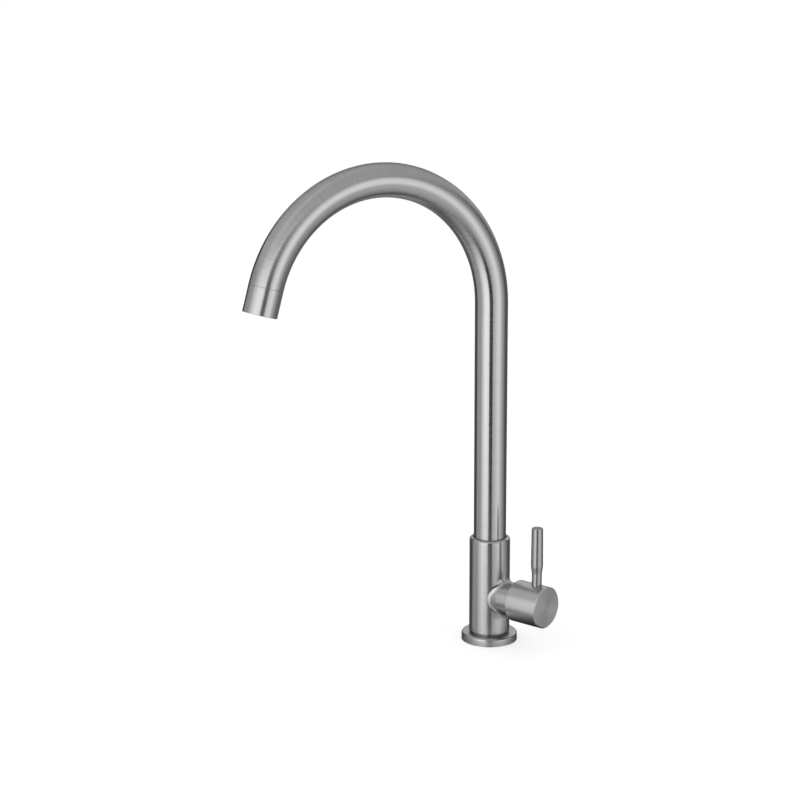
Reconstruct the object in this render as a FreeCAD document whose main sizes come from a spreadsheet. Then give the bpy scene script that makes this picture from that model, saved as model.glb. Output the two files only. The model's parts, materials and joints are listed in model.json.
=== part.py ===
import FreeCAD, Part
import math
import os
import re

import Sketcher

# A single-supply kitchen tap with a swivelling gooseneck spout and a quarter-turn side handle.
# The origin is the centre of the flange's underside, on the deck. +Z is up, the handle points along +X
# and the user stands on the -Y side. Lengths are in millimetres, angles in degrees.

# Driving sizes, each set by itself
SIZES = {
    # Fits shared by many pieces
    "fit_gap": 0.05,  # between pieces that are screwed, brazed or pressed together
    "running_gap": 0.05,  # radial play of a turning shaft
    "ring_play": 0.2,  # room at each side of a seal ring in its groove
    "overrun": 1.0,  # how far a cut runs past the surface it opens
    # Spout
    "tube_diameter": 25.4,
    "tube_wall": 1.2,
    "riser_length": 185.7,  # straight tube from the column's top to the bend
    "bend_radius": 98.0,  # to the tube's middle line
    "bend_angle": 164.0,
    "spout_turn": -107.8,  # spout's direction at rest, from the handle's direction
    # Swivel stem in the spout's foot
    "journal_step": 2.75,  # how much slimmer the journal is than the tube, on the radius
    "stem_wall": 3.45,
    "stem_end_gap": 1.5,
    "stem_spigot_length": 10.0,
    "stem_flange_thickness": 2.0,
    "stem_ring_section": 1.5,
    "stem_ring_gap": 0.08,  # from a stem ring to the socket's wall
    "stem_land": 2.2,  # metal between two grooves of the stem
    "bearing_thickness": 2.0,
    "bearing_gap": 0.1,
    # Screw that keeps the spout in its socket
    "lock_diameter": 5.0,
    "lock_tip_diameter": 3.5,
    "lock_tip_length": 1.9,
    "lock_play": 0.35,  # between the screw's tip and the stem's groove
    "lock_groove_depth": 1.5,
    "lock_recess": 0.6,  # how far the screw's head lies below the column's surface
    "lock_land": 2.4,
    "lock_socket_across": 2.5,
    "lock_socket_depth": 2.2,
    # Nozzle at the spout's tip
    "nozzle_length": 19.8,
    "nozzle_wall": 2.0,
    "nozzle_spigot_length": 5.0,
    "nozzle_spigot_wall": 1.7,
    "nozzle_edge": 0.4,
    "nozzle_seam": 0.25,
    "insert_length": 6.0,
    "insert_wall": 1.75,
    "insert_gap": 0.3,  # lets the straight insert sit in the bent tube
    "aerator_recess": 0.8,
    "core_length": 9.0,
    "core_hole_diameter": 1.9,
    "core_ring_step": 2.6,  # between the rings of holes
    "core_hole_count": 6,  # holes in the first ring, and as many more in each ring outside it
    "screen_thickness": 0.7,
    "screen_hole_diameter": 1.3,
    "aerator_washer_thickness": 2.0,
    # Column
    "seam_gap": 0.3,  # dark seam between the tube and the column's mouth
    "socket_wall": 3.0,
    "tube_cover": 10.1,  # how deep the tube sits in the column's mouth
    "shoulder_round": 2.4,
    "mouth_edge": 0.3,
    "foot_gap": 0.7,  # height of the seam above the flange
    "foot_edge": 0.8,  # depth of that seam, and the chamfer above it
    "outlet_wall": 5.0,  # metal between the valve chamber and the spout's socket
    "outlet_diameter": 6.0,
    "outlet_land": 0.2,
    "inlet_wall": 3.5,  # metal between the inlet pocket and the valve chamber
    "inlet_diameter": 7.0,
    "seat_wall": 2.5,  # metal between the inlet drilling and the valve chamber
    "seat_bore": 7.0,
    "seat_offset": 1.5,  # chamber's floor from the column's axis
    "stub_length": 15.0,
    "stub_wall": 3.5,
    "stub_root_round": 5.0,
    # Flange and its seal
    "flange_thickness": 6.5,
    "flange_rim": 6.0,  # how far the flange stands out from the column
    "flange_round": 2.0,
    "spigot_wall": 2.5,
    "spigot_length": 4.0,
    "seal_land": 1.8,
    "seal_width": 3.5,
    "seal_thickness": 1.5,
    # Threaded shank and what clamps it under the deck
    "shank_diameter": 20.955,  # G 1/2 pipe thread, over its crests
    "shank_bore": 14.0,
    "shank_entry": 12.0,
    "shank_seal_thickness": 2.0,
    "shank_edge": 1.0,
    "plenum_height": 4.0,
    "plenum_step": 1.5,
    "deck_thickness": 12.0,
    "washer_gap": 0.3,
    "washer_width": 9.2,
    "rubber_thickness": 3.0,
    "plate_thickness": 1.5,
    "nut_wall": 3.0,
    "nut_height": 8.0,
    "nut_edge": 1.2,
    "nut_clear": 2.0,
    "relief_width": 2.0,
    "relief_depth": 1.2,
    "inlet_length": 19.0,  # free thread for the supply hose
    # Valve headwork
    "cartridge_diameter": 18.5,
    "barrel_step": 0.8,
    "barrel_wall": 1.0,
    "barrel_inset": 0.2,
    "barrel_shoulder": 1.2,
    "cartridge_ring_section": 1.4,
    "cartridge_ring_inset": 2.0,
    "hex_height": 6.0,
    "hex_inset": 1.75,
    "seat_seal_thickness": 2.2,
    "seat_seal_wall": 2.4,
    "disc_thickness": 3.0,
    "disc_film": 0.05,
    "disc_slot_depth": 1.2,
    "window_inner": 1.6,
    "window_rim": 1.3,
    "window_half_angle": 36.0,
    "side_window_width": 8.0,
    "side_window_inset": 0.8,
    # Spindle
    "spindle_diameter": 8.0,
    "driver_width": 3.6,
    "driver_inset": 1.2,
    "driver_height": 2.4,
    "driver_play": 0.3,
    "spindle_ring_section": 1.3,
    "spindle_land": 3.0,
    "circlip_gap": 0.3,
    "circlip_thickness": 0.9,
    "circlip_depth": 0.7,
    "circlip_width": 2.1,
    "circlip_arc": 310.0,
    "square_across": 5.6,
    "square_play": 0.5,
    # Handle and lever
    "cavity_gap": 0.45,
    "cavity_play": 0.8,
    "handle_wall": 3.05,
    "stub_cover": 3.6,  # how far the handle reaches over the stub
    "square_depth": 11.0,
    "front_wall": 5.9,
    "handle_edge": 0.9,
    "handle_rear_edge": 0.5,
    "lever_inset": 7.1,
    "lever_seat_depth": 2.0,
    "lever_stem_diameter": 7.8,
    "lever_stem_length": 9.9,  # from the handle's surface to the waist
    "lever_flare_length": 5.4,
    "lever_grip_length": 30.7,
    "lever_grip_diameter": 9.4,
    "lever_top_diameter": 8.8,
    "lever_flare_round": 9.0,
    "lever_top_round": 0.8,
    "tenon_diameter": 5.0,
    "tenon_length": 6.5,
    "tenon_gap": 0.5,
    "set_screw_diameter": 4.0,
    "set_screw_length": 8.0,
    "set_screw_socket_across": 2.0,
    "set_screw_socket_depth": 2.0,
}

# Sizes and places that follow from the driving ones
PLACES = {
    "tube_radius": "tube_diameter / 2",
    "tube_bore_radius": "tube_radius - tube_wall",
    "mouth_radius": "tube_radius + seam_gap",
    "body_radius": "mouth_radius + socket_wall",
    "flange_radius": "body_radius + flange_rim",
    "shank_radius": "shank_diameter / 2",
    "shank_bore_radius": "shank_bore / 2",
    "shank_hole_radius": "shank_radius + fit_gap",
    "spigot_radius": "shank_hole_radius + spigot_wall",
    "spigot_bottom": "flange_thickness - spigot_length",
    "flange_bore_radius": "spigot_radius + fit_gap",
    "seal_groove_outer": "flange_radius - seal_land",
    "seal_groove_inner": "seal_groove_outer - seal_width",
    "seal_groove_depth": "seal_thickness + fit_gap",
    # Levels up the column
    "shank_top": "flange_thickness + shank_entry",
    "plenum_bottom": "shank_top + shank_seal_thickness",
    "plenum_top": "plenum_bottom + plenum_height",
    "plenum_radius": "shank_bore_radius + plenum_step",
    "chamber_radius": "cartridge_diameter / 2 + fit_gap",
    "handle_height": "plenum_top + inlet_wall + chamber_radius",
    "socket_floor": "handle_height + chamber_radius + outlet_wall",
    "stem_bottom": "socket_floor + stem_end_gap",
    "stem_groove_width": "stem_ring_section + 2 * ring_play",
    "lower_groove": "stem_bottom + stem_land",
    "upper_groove": "lower_groove + stem_groove_width + stem_land",
    "lock_groove": "upper_groove + stem_groove_width + stem_land",
    "lock_groove_width": "lock_tip_diameter + 2 * lock_play",
    "lock_height": "lock_groove + lock_groove_width / 2",
    "ledge": "lock_groove + lock_groove_width + lock_land",
    "stem_flange_bottom": "ledge + bearing_thickness",
    "tube_bottom": "stem_flange_bottom + stem_flange_thickness",
    "body_top": "tube_bottom + tube_cover",
    "bend_start": "body_top + riser_length",
    # Radii of the swivel
    "journal_radius": "tube_radius - journal_step",
    "socket_radius": "journal_radius + running_gap",
    "stem_bore_radius": "journal_radius - stem_wall",
    "stem_spigot_radius": "tube_bore_radius - fit_gap",
    "stem_ring_radius": "socket_radius - stem_ring_gap - stem_ring_section / 2",
    "stem_groove_floor": "stem_ring_radius - stem_ring_section / 2 - fit_gap",
    "lock_groove_floor": "journal_radius - lock_groove_depth",
    "lock_tip_end": "lock_groove_floor + lock_play",
    "lock_tip_start": "lock_tip_end + lock_tip_length",
    "lock_head": "body_radius - lock_recess",
    # Passages in the column
    "inlet_offset": "seat_offset - seat_wall - inlet_diameter / 2",
    "inlet_top": "handle_height + inlet_diameter / 2",
    "outlet_offset": "socket_radius - outlet_land - outlet_diameter / 2",
    "stub_radius": "chamber_radius + stub_wall",
    "stub_end": "body_radius + stub_length",
    # Along the nozzle's axis, from the seam at the tube's end; the mouth is on the negative side
    "nozzle_tilt": "bend_angle - 180",
    "tip_reach": "bend_radius - bend_radius * cos(bend_angle)",
    "tip_height": "bend_start + bend_radius * sin(bend_angle)",
    "insert_radius": "tube_bore_radius - insert_gap",
    "insert_bore_radius": "insert_radius - insert_wall",
    "nozzle_spigot_radius": "insert_bore_radius - fit_gap",
    "nozzle_bore_radius": "nozzle_spigot_radius - nozzle_spigot_wall",
    "aerator_bore_radius": "tube_radius - nozzle_wall",
    "aerator_radius": "aerator_bore_radius - fit_gap",
    "core_bottom": "aerator_recess - nozzle_length",
    "screen_bottom": "core_bottom + core_length",
    "aerator_washer_bottom": "screen_bottom + screen_thickness",
    "aerator_shoulder": "aerator_washer_bottom + aerator_washer_thickness",
    # Under the deck
    "washer_bore_radius": "shank_radius + washer_gap",
    "washer_radius": "washer_bore_radius + washer_width",
    "plate_top": "-(deck_thickness + rubber_thickness)",
    "nut_top": "plate_top - plate_thickness",
    "nut_bottom": "nut_top - nut_height",
    "nut_flat": "shank_hole_radius + nut_wall",
    "relief_top": "nut_bottom - nut_clear",
    "relief_bottom": "relief_top - relief_width",
    "shank_bottom": "relief_bottom - inlet_length",
    # Along the handle's axis, from the column's axis
    "seal_end": "seat_offset + seat_seal_thickness",
    "fixed_disc_end": "seal_end + disc_thickness",
    "rotating_disc_start": "fixed_disc_end + disc_film",
    "rotating_disc_end": "rotating_disc_start + disc_thickness",
    "driver_start": "rotating_disc_end - disc_slot_depth + fit_gap",
    "driver_end": "rotating_disc_end + driver_height",
    "barrel_end": "driver_end + driver_play",
    "thread_start": "barrel_end + barrel_shoulder",
    "cartridge_ring_end": "stub_end - cartridge_ring_inset",
    "cartridge_ring_start": "cartridge_ring_end - cartridge_ring_section - 2 * ring_play",
    "hex_end": "stub_end + hex_height",
    "spindle_groove_width": "spindle_ring_section + 2 * ring_play",
    "inner_ring_start": "barrel_end + spindle_land",
    "outer_ring_start": "inner_ring_start + spindle_groove_width + spindle_land",
    "circlip_start": "hex_end + circlip_gap",
    "circlip_end": "circlip_start + circlip_thickness",
    "handle_rear": "stub_end - stub_cover",
    "cavity_end": "circlip_end + cavity_play",
    "square_start": "cavity_end - square_play",
    "square_socket_end": "cavity_end + square_depth",
    "square_end": "square_socket_end - square_play",
    "handle_front": "square_socket_end + front_wall",
    "lever_offset": "cavity_end + lever_inset",
    # Radii about the handle's axis
    "cartridge_radius": "cartridge_diameter / 2",
    "barrel_radius": "cartridge_radius - barrel_step",
    "barrel_bore_radius": "barrel_radius - barrel_wall",
    "disc_radius": "barrel_bore_radius - running_gap",
    "seat_seal_bore": "disc_radius - seat_seal_wall",
    "hex_radius": "stub_radius - hex_inset",
    "cartridge_ring_radius": "chamber_radius - fit_gap - cartridge_ring_section / 2",
    "cartridge_ring_floor": "cartridge_ring_radius - cartridge_ring_section / 2 - fit_gap",
    "spindle_radius": "spindle_diameter / 2",
    "spindle_bore_radius": "spindle_radius + running_gap",
    "spindle_ring_radius": "spindle_radius - spindle_ring_section / 2",
    "spindle_ring_floor": "spindle_ring_radius - spindle_ring_section / 2 - fit_gap",
    "circlip_floor": "spindle_radius - circlip_depth",
    "circlip_bore_radius": "circlip_floor + fit_gap",
    "driver_reach": "disc_radius - driver_inset",
    "cavity_radius": "stub_radius + cavity_gap",
    "handle_radius": "cavity_radius + handle_wall",
    # Up the lever, from the handle's axis
    "lever_seat": "handle_radius - lever_seat_depth",
    "tenon_end": "lever_seat - tenon_length",
    "lever_waist": "handle_radius + lever_stem_length",
    "lever_belly": "lever_waist + lever_flare_length",
    "lever_top": "lever_belly + lever_grip_length",
    "set_screw_start": "square_across / 2 + fit_gap",
    "set_screw_end": "set_screw_start + set_screw_length",
}

document = FreeCAD.newDocument("KitchenTap")
pieces = []


def bound(formula):
    """Name the sheet in front of each size or place that a formula reads."""

    def owner(word):
        name = word[0]
        if name in SIZES:
            return "Sizes." + name
        if name in PLACES:
            return "Places." + name
        return name

    return re.sub(r"[a-z]\w*", owner, formula)


def fill_sheet(name, cells):
    sheet = document.addObject("Spreadsheet::Sheet", name)
    for row, (alias, content) in enumerate(cells.items(), start=1):
        sheet.set(f"A{row}", alias)
        sheet.set(f"B{row}", content)
        sheet.setAlias(f"B{row}", alias)
    return sheet


sizes = fill_sheet("Sizes", {alias: str(number) for alias, number in SIZES.items()})
places = fill_sheet("Places", {alias: "=" + bound(formula) for alias, formula in PLACES.items()})
document.recompute()


def value(name):
    return getattr(sizes if name in SIZES else places, name)


# Helpers that make the features of a piece


def keep(piece, label):
    piece.Label = label
    pieces.append(piece)
    return piece


def place(piece, across="0", away="0", up="0", yaw="0", pitch="0"):
    """Put a piece at a point, turned about its upright axis and then tilted about its own Y axis."""
    spot = f"vector({bound(across)}; {bound(away)}; {bound(up)})"
    turn = f"rotation({bound(yaw)}; {bound(pitch)}; 0)"
    piece.setExpression("Placement", f"placement({spot}; {turn})")
    return piece


def new_body(label):
    return keep(document.addObject("PartDesign::Body", label), label)


def new_sketch(body, name, plane, lift="0"):
    sketch = body.newObject("Sketcher::SketchObject", f"{body.Name}_{name}")
    support = next(feature for feature in body.Origin.OriginFeatures if feature.Role == plane)
    sketch.AttachmentSupport = [(support, "")]
    sketch.MapMode = "FlatFace"
    sketch.setExpression("AttachmentOffset.Base.z", bound(lift))
    return sketch


def pin_point(sketch, edge, point, across, along):
    """Fix one point of a sketch by two formulas, measured from the sketch's origin."""
    drawn = sketch.getPoint(edge, point)
    for kind, start, formula in (("DistanceX", drawn.x, across), ("DistanceY", drawn.y, along)):
        number = sketch.addConstraint(Sketcher.Constraint(kind, -1, 1, edge, point, start))
        sketch.setExpression(f"Constraints[{number}]", bound(formula))


def draw_outline(sketch, corners):
    """Draw a closed outline of straight runs through corners that are given as formulas."""
    turns = [2 * math.pi * number / len(corners) for number in range(len(corners))]
    spots = [FreeCAD.Vector(math.cos(turn), math.sin(turn), 0) for turn in turns]
    first = sketch.GeometryCount
    for start, end in zip(spots, spots[1:] + spots[:1]):
        sketch.addGeometry(Part.LineSegment(start, end))
    for number, (across, along) in enumerate(corners):
        follower = first + (number + 1) % len(corners)
        sketch.addConstraint(Sketcher.Constraint("Coincident", first + number, 2, follower, 1))
        pin_point(sketch, first + number, 1, across, along)


def draw_circle(sketch, radius, across="0", along="0"):
    circle = sketch.addGeometry(Part.Circle())
    pin_point(sketch, circle, 3, across, along)
    number = sketch.addConstraint(Sketcher.Constraint("Radius", circle, 1))
    sketch.setExpression(f"Constraints[{number}]", bound(radius))


def rectangle(left, right, low, high):
    return [(left, low), (right, low), (right, high), (left, high)]


def hexagon(corner_radius):
    turns = [60 * number for number in range(6)]
    return [(f"{corner_radius} * cos({turn})", f"{corner_radius} * sin({turn})") for turn in turns]


def add_feature(body, kind, name, sketch):
    feature = body.newObject(f"PartDesign::{kind}", f"{body.Name}_{name}")
    feature.Profile = sketch
    return feature


def turn(body, name, corners, axis="V_Axis", kind="Revolution", angle="360"):
    """Turn an outline about the upright axis, or about the handle's axis with H_Axis."""
    sketch = new_sketch(body, name + "_outline", "XZ_Plane")
    draw_outline(sketch, corners)
    feature = add_feature(body, kind, name, sketch)
    feature.ReferenceAxis = (sketch, [axis])
    feature.setExpression("Angle", bound(angle))
    document.recompute()
    return feature


def turn_away(body, name, corners, axis="V_Axis"):
    return turn(body, name, corners, axis, "Groove")


def raise_outline(body, name, plane, lift, length, corners):
    """Raise an outline off a plane, along the plane's normal."""
    sketch = new_sketch(body, name + "_outline", plane, lift)
    draw_outline(sketch, corners)
    feature = add_feature(body, "Pad", name, sketch)
    feature.setExpression("Length", bound(length))
    document.recompute()
    return feature


def raise_circle(body, name, plane, lift, length, radius):
    sketch = new_sketch(body, name + "_circle", plane, lift)
    draw_circle(sketch, radius)
    feature = add_feature(body, "Pad", name, sketch)
    feature.setExpression("Length", bound(length))
    document.recompute()
    return feature


def cut_along(body, name, sketch, length):
    """Cut a sketch's outline away, along the normal of the sketch's plane."""
    feature = add_feature(body, "Pocket", name, sketch)
    feature.setExpression("Length", bound(length))
    feature.Reversed = True
    document.recompute()
    return feature


def drill(body, name, plane, lift, length, radius, across="0", along="0"):
    sketch = new_sketch(body, name + "_circle", plane, lift)
    draw_circle(sketch, radius, across, along)
    return cut_along(body, name, sketch, length)


def mill(body, name, plane, lift, length, corners):
    sketch = new_sketch(body, name + "_outline", plane, lift)
    draw_outline(sketch, corners)
    return cut_along(body, name, sketch, length)


def rim_names(feature, radius, level, axis="z"):
    """Name the full round edges of a given radius at a level along an axis."""
    near = value("fit_gap") / 2
    names = []
    for number, edge in enumerate(feature.Shape.Edges, start=1):
        if not isinstance(edge.Curve, Part.Circle):
            continue
        same_radius = abs(edge.Curve.Radius - radius) < near
        if same_radius and abs(getattr(edge.Curve.Center, axis) - level) < near:
            names.append(f"Edge{number}")
    return names


def ease(body, name, kind, base, edges, size):
    """Round or chamfer edges of a feature; kind is Fillet or Chamfer."""
    feature = body.newObject(f"PartDesign::{kind}", f"{body.Name}_{name}")
    feature.Base = (base, edges)
    feature.setExpression("Radius" if kind == "Fillet" else "Size", bound(size))
    document.recompute()
    return feature


def ring(label, bottom, top, inner, outer):
    """A plain flat ring about the upright axis."""
    body = new_body(label)
    turn(body, "ring", rectangle(inner, outer, bottom, top))
    return body


def round_ring(label, section, radius):
    """A round-section seal ring about its own Z axis."""
    torus = document.addObject("Part::Torus", label)
    torus.setExpression("Radius1", bound(radius))
    torus.setExpression("Radius2", bound(f"{section} / 2"))
    return torus


def ring_pair(label, section, radius, spots):
    """Two alike seal rings kept as one piece of two solids; each spot names its place settings."""
    rings = []
    for number, spot in enumerate(spots, start=1):
        rings.append(place(round_ring(f"{label}_{number}", section, radius), **spot))
    pair = keep(document.addObject("Part::Compound", label), label)
    pair.Links = rings
    return pair


# Flange and deck seal


def make_base_flange():
    body = new_body("base_flange")
    plate = turn(body, "plate", rectangle("flange_bore_radius", "flange_radius", "0", "flange_thickness"))
    top_rim = rim_names(plate, value("flange_radius"), value("flange_thickness"))
    ease(body, "top_round", "Fillet", plate, top_rim, "flange_round")
    groove = rectangle("seal_groove_inner", "seal_groove_outer", "-overrun", "seal_groove_depth")
    turn_away(body, "seal_groove", groove)


def make_deck_seal_ring():
    inner = "seal_groove_inner + fit_gap"
    outer = "seal_groove_outer - fit_gap"
    ring("deck_seal_ring", "0", "seal_thickness", inner, outer)


# Column with its side stub


def make_valve_body():
    body = new_body("valve_body")
    column = turn(body, "column", [
        ("0", "spigot_bottom"),
        ("spigot_radius", "spigot_bottom"),
        ("spigot_radius", "flange_thickness"),
        ("body_radius - foot_edge", "flange_thickness"),
        ("body_radius - foot_edge", "flange_thickness + foot_gap"),
        ("body_radius", "flange_thickness + foot_gap + foot_edge"),
        ("body_radius", "body_top"),
        ("0", "body_top"),
    ])
    shoulder = rim_names(column, value("body_radius"), value("body_top"))
    ease(body, "shoulder", "Fillet", column, shoulder, "shoulder_round")
    sketch = new_sketch(body, "stub_circle", "YZ_Plane")
    draw_circle(sketch, "stub_radius", "0", "handle_height")
    stub = add_feature(body, "Pad", "stub", sketch)
    stub.setExpression("Length", bound("stub_end"))
    document.recompute()
    # The stub meets the column in the only edges that are neither straight nor round
    root = [
        f"Edge{number}"
        for number, edge in enumerate(stub.Shape.Edges, start=1)
        if not isinstance(edge.Curve, (Part.Circle, Part.Line))
    ]
    ease(body, "stub_root", "Fillet", stub, root, "stub_root_round")
    cut_spout_socket(body)
    cut_inlet(body)
    cut_valve_chamber(body)
    drill(body, "lock_hole", "XZ_Plane", "-(body_radius + overrun)", "body_radius + overrun",
          "lock_diameter / 2 + fit_gap", "0", "lock_height")


def cut_spout_socket(body):
    socket = turn_away(body, "spout_socket", [
        ("0", "socket_floor"),
        ("socket_radius", "socket_floor"),
        ("socket_radius", "ledge"),
        ("mouth_radius", "ledge"),
        ("mouth_radius", "body_top + overrun"),
        ("0", "body_top + overrun"),
    ])
    mouth = rim_names(socket, value("mouth_radius"), value("body_top"))
    ease(body, "mouth_edge", "Chamfer", socket, mouth, "mouth_edge")


def cut_inlet(body):
    turn_away(body, "shank_socket", [
        ("0", "spigot_bottom - overrun"),
        ("shank_hole_radius", "spigot_bottom - overrun"),
        ("shank_hole_radius", "plenum_bottom"),
        ("plenum_radius", "plenum_bottom"),
        ("plenum_radius", "plenum_top"),
        ("0", "plenum_top"),
    ])
    drill(body, "inlet", "XY_Plane", "plenum_bottom", "inlet_top - plenum_bottom",
          "inlet_diameter / 2", "inlet_offset")


def cut_valve_chamber(body):
    drill(body, "seat", "YZ_Plane", "inlet_offset", "seat_offset + overrun - inlet_offset",
          "seat_bore / 2", "0", "handle_height")
    drill(body, "chamber", "YZ_Plane", "seat_offset", "stub_end + overrun - seat_offset",
          "chamber_radius", "0", "handle_height")
    drill(body, "outlet", "XY_Plane", "handle_height", "socket_floor + overrun - handle_height",
          "outlet_diameter / 2", "outlet_offset")


# Shank and clamp under the deck


def make_shank():
    body = new_body("shank")
    tube = turn(body, "tube", rectangle("shank_bore_radius", "shank_radius", "shank_bottom", "shank_top"))
    end_rim = rim_names(tube, value("shank_radius"), value("shank_bottom"))
    top_rim = rim_names(tube, value("shank_radius"), value("shank_top"))
    ease(body, "thread_starts", "Chamfer", tube, end_rim + top_rim, "shank_edge")
    relief = rectangle("shank_radius - relief_depth", "shank_radius + overrun", "relief_bottom", "relief_top")
    turn_away(body, "relief", relief)


def make_clamp():
    ring("shank_seal", "shank_top", "plenum_bottom", "shank_bore_radius", "shank_radius")
    ring("rubber_washer", "plate_top", "-deck_thickness", "washer_bore_radius", "washer_radius")
    ring("steel_washer", "nut_top", "plate_top", "washer_bore_radius", "washer_radius")


def make_lock_nut():
    body = new_body("lock_nut")
    raise_outline(body, "hexagon", "XY_Plane", "nut_bottom", "nut_height", hexagon("(nut_flat / cos(30))"))
    # Both ends are turned to a cone that meets the flats
    for name, level, inward in (("lower_cone", "nut_bottom", "+"), ("upper_cone", "nut_top", "-")):
        turn_away(body, name, [
            ("nut_flat", level),
            ("nut_flat + 2 * nut_edge", level),
            ("nut_flat + 2 * nut_edge", f"{level} {inward} nut_edge"),
        ])
    drill(body, "bore", "XY_Plane", "nut_bottom - overrun", "nut_height + 2 * overrun", "shank_hole_radius")


# Valve headwork, on the handle's axis


def on_handle_axis(body):
    return place(body, up="handle_height")


def make_cartridge_body():
    body = on_handle_axis(new_body("cartridge_body"))
    turn(body, "barrel", [
        ("seal_end + barrel_inset", "barrel_bore_radius"),
        ("seal_end + barrel_inset", "barrel_radius"),
        ("thread_start", "barrel_radius"),
        ("thread_start", "cartridge_radius"),
        ("cartridge_ring_start", "cartridge_radius"),
        ("cartridge_ring_start", "cartridge_ring_floor"),
        ("cartridge_ring_end", "cartridge_ring_floor"),
        ("cartridge_ring_end", "cartridge_radius"),
        ("stub_end", "cartridge_radius"),
        ("stub_end", "spindle_bore_radius"),
        ("barrel_end", "spindle_bore_radius"),
        ("barrel_end", "barrel_bore_radius"),
    ], "H_Axis")
    raise_outline(body, "hexagon", "YZ_Plane", "stub_end", "hex_height", hexagon("hex_radius"))
    drill(body, "spindle_bore", "YZ_Plane", "stub_end", "hex_height + overrun", "spindle_bore_radius")
    window = rectangle("rotating_disc_start + side_window_inset", "driver_end",
                       "-side_window_width / 2", "side_window_width / 2")
    mill(body, "side_windows", "XY_Plane", "-cartridge_radius", "2 * cartridge_radius", window)


def make_headwork_seals():
    seat_seal = on_handle_axis(new_body("seat_seal"))
    turn(seat_seal, "ring", rectangle("seat_offset", "seal_end", "seat_seal_bore", "disc_radius"), "H_Axis")
    cartridge_ring = keep(
        round_ring("cartridge_o_ring", "cartridge_ring_section", "cartridge_ring_radius"), "cartridge_o_ring")
    place(cartridge_ring, "(cartridge_ring_start + cartridge_ring_end) / 2", up="handle_height", pitch="90")


def make_disc(label, start, turned):
    """A ceramic disc with two opposite bow-tie windows, drawn at a turn from the Y axis."""
    body = on_handle_axis(new_body(label))
    raise_circle(body, "disc", "YZ_Plane", start, "disc_thickness", "disc_radius")
    for number, side in enumerate((turned, turned + 180), start=1):
        corners = []
        for reach, sign in (("window_inner", "-"), ("(disc_radius - window_rim)", "-"),
                            ("(disc_radius - window_rim)", "+"), ("window_inner", "+")):
            angle = f"({side} {sign} window_half_angle)"
            corners.append((f"{reach} * cos{angle}", f"{reach} * sin{angle}"))
        mill(body, f"window_{number}", "YZ_Plane", f"{start} - overrun", "disc_thickness + 2 * overrun", corners)
    return body


def make_discs():
    make_disc("fixed_disc", "seal_end", 0)
    rotating = make_disc("rotating_disc", "rotating_disc_start", 90)
    slot = rectangle("-(driver_reach + fit_gap)", "driver_reach + fit_gap",
                     "-(driver_width / 2 + fit_gap)", "driver_width / 2 + fit_gap")
    mill(rotating, "slot", "YZ_Plane", "rotating_disc_end - disc_slot_depth", "disc_slot_depth + overrun", slot)


def make_spindle():
    body = on_handle_axis(new_body("spindle"))
    driver = rectangle("-driver_reach", "driver_reach", "-driver_width / 2", "driver_width / 2")
    raise_outline(body, "driver", "YZ_Plane", "driver_start", "driver_end - driver_start", driver)
    shaft = []
    for start, floor, width in (("inner_ring_start", "spindle_ring_floor", "spindle_groove_width"),
                                ("outer_ring_start", "spindle_ring_floor", "spindle_groove_width"),
                                ("(circlip_start - fit_gap)", "circlip_floor",
                                 "circlip_thickness + 2 * fit_gap")):
        shaft += [(start, "spindle_radius"), (start, floor),
                  (f"{start} + {width}", floor), (f"{start} + {width}", "spindle_radius")]
    ends = [("driver_end", "0"), ("driver_end", "spindle_radius")]
    turn(body, "shaft", ends + shaft + [("square_start", "spindle_radius"), ("square_start", "0")], "H_Axis")
    half = "square_across / 2"
    square = rectangle(f"-{half}", half, f"-{half}", half)
    raise_outline(body, "square", "YZ_Plane", "square_start", "square_end - square_start", square)


def make_spindle_rings():
    middle = "+ spindle_groove_width / 2"
    spots = [
        {"across": f"{start} {middle}", "up": "handle_height", "pitch": "90"}
        for start in ("inner_ring_start", "outer_ring_start")
    ]
    ring_pair("spindle_o_rings", "spindle_ring_section", "spindle_ring_radius", spots)


def make_spindle_circlip():
    body = on_handle_axis(new_body("spindle_circlip"))
    clip = rectangle("circlip_start", "circlip_end", "circlip_bore_radius", "circlip_bore_radius + circlip_width")
    turn(body, "clip", clip, "H_Axis", angle="circlip_arc")


# Handle and lever


def make_handle_body():
    body = on_handle_axis(new_body("handle_body"))
    shell = turn(body, "shell", [
        ("handle_rear", "cavity_radius"),
        ("handle_rear", "handle_radius"),
        ("handle_front", "handle_radius"),
        ("handle_front", "0"),
        ("cavity_end", "0"),
        ("cavity_end", "cavity_radius"),
    ], "H_Axis")
    front_rim = rim_names(shell, value("handle_radius"), value("handle_front"), "x")
    front = ease(body, "front_edge", "Chamfer", shell, front_rim, "handle_edge")
    rear_rim = rim_names(front, value("handle_radius"), value("handle_rear"), "x")
    ease(body, "rear_edge", "Chamfer", front, rear_rim, "handle_rear_edge")
    half = "(square_across / 2 + fit_gap)"
    square = rectangle(f"-{half}", half, f"-{half}", half)
    mill(body, "square_socket", "YZ_Plane", "cavity_end - overrun", "square_depth + overrun", square)
    drill(body, "lever_thread", "XY_Plane", "tenon_end - tenon_gap", "handle_radius + overrun - tenon_end",
          "tenon_diameter / 2 + fit_gap", "lever_offset")
    drill(body, "lever_seat", "XY_Plane", "lever_seat", "lever_seat_depth + overrun",
          "lever_stem_diameter / 2 + fit_gap", "lever_offset")
    drill(body, "set_screw_hole", "XY_Plane", "-(handle_radius + overrun)", "handle_radius + overrun",
          "set_screw_diameter / 2 + fit_gap", "lever_offset")


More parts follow.
